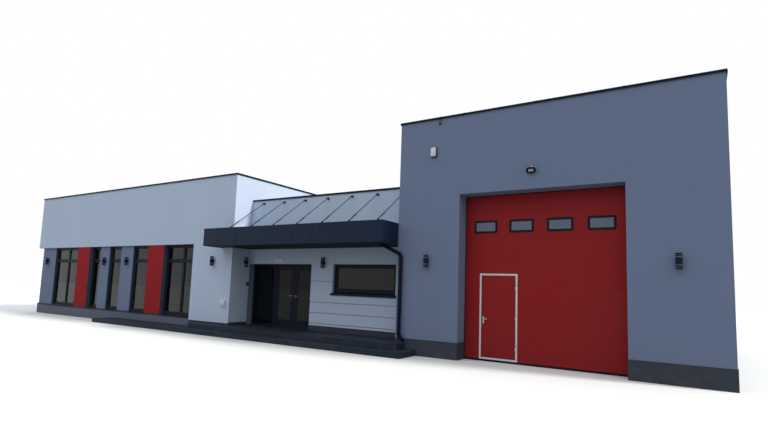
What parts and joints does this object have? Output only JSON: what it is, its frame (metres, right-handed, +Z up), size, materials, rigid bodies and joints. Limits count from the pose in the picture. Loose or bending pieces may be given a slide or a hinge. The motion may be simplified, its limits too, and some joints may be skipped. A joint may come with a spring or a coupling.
{
  "type": "village hall",
  "caption": "Single-storey village hall: a glazed hall wing, a recessed entrance under a hung canopy, and a tall garage with a sectional door and a wicket",
  "frame": {"origin": "on the ground, at the middle of the whole plan", "axes": "X along the front from the hall to the garage, Y from the front to the back, Z up"},
  "size_m": [27.66, 11.4, 6.24],
  "materials": {
    "white_render": "fine matt render",
    "grey_render": "matt mid-grey render",
    "red_render": "matt signal-red render",
    "mosaic_plaster": "dark-grey mosaic plaster",
    "step_stone": "graphite stone paving",
    "concrete": "trowelled concrete",
    "roof_felt": "grey roof felt",
    "anthracite_metal": "satin powder coat",
    "red_door": "satin coated steel",
    "white_metal": "satin powder coat",
    "black_rubber": "matt rubber",
    "black_plastic": "moulded plastic",
    "white_plastic": "moulded plastic",
    "red_plastic": "moulded plastic",
    "steel": "brushed stainless steel",
    "glass": "clear glazing"
  },
  "bodies": {
    "building": {"garage_front_wall": "grey_render", "garage_lintel": "grey_render", "garage_walls": "grey_render", "garage_plinth": "mosaic_plaster", "hall_upper_wall": "white_render", "hall_front_wall": "white_render", "front_bases": "mosaic_plaster", "grey_piers": "grey_render", "red_piers": "red_render", "hall_left_wall": "white_render", "hall_right_wall": "white_render", "lobby_front_wall": "white_render", "lobby_upper_wall": "white_render", "back_walls": "white_render", "floor_slabs": "concrete", "roof_slabs": "roof_felt", "parapet_copings": "anthracite_metal", "window_frames": "anthracite_metal", "window_glass": "glass", "window_sills": "anthracite_metal", "entrance_frame": "anthracite_metal", "canopy": "anthracite_metal", "tie_rods": "anthracite_metal", "lower_step": "step_stone", "upper_step": "step_stone", "garage_door_sections": "red_door", "garage_door_seal": "black_rubber", "garage_window_frames": "black_plastic", "garage_window_glass": "glass", "wicket_frame": "white_metal", "wall_lanterns": "anthracite_metal", "floodlight": "anthracite_metal", "siren_box": "white_plastic", "emergency_light": "white_plastic", "socket_box": "white_plastic", "alarm_box": "red_plastic", "downpipe": "anthracite_metal"},
    "wicket": {"wicket_leaf": "red_door", "wicket_handle": "steel"},
    "left_door": {"left_door_leaf": "anthracite_metal", "left_door_glass": "glass", "left_door_handle": "steel"},
    "right_door": {"right_door_leaf": "anthracite_metal", "right_door_glass": "glass", "right_door_handle": "steel"}
  },
  "joints": [
    {"name": "wicket_hinge", "type": "hinge", "parent": "building", "child": "wicket", "pos_m": [9.475, -4.4097, 1.1], "axis": [0, 0, 1], "range_deg": [0, 90]},
    {"name": "left_door_hinge", "type": "hinge", "parent": "building", "child": "left_door", "pos_m": [0.97, -3.815, 1.3], "axis": [0, 0, -1], "range_deg": [0, 90]},
    {"name": "right_door_hinge", "type": "hinge", "parent": "building", "child": "right_door", "pos_m": [2.6697, -3.815, 1.3], "axis": [0, 0, 1], "range_deg": [0, 90]}
  ]
}
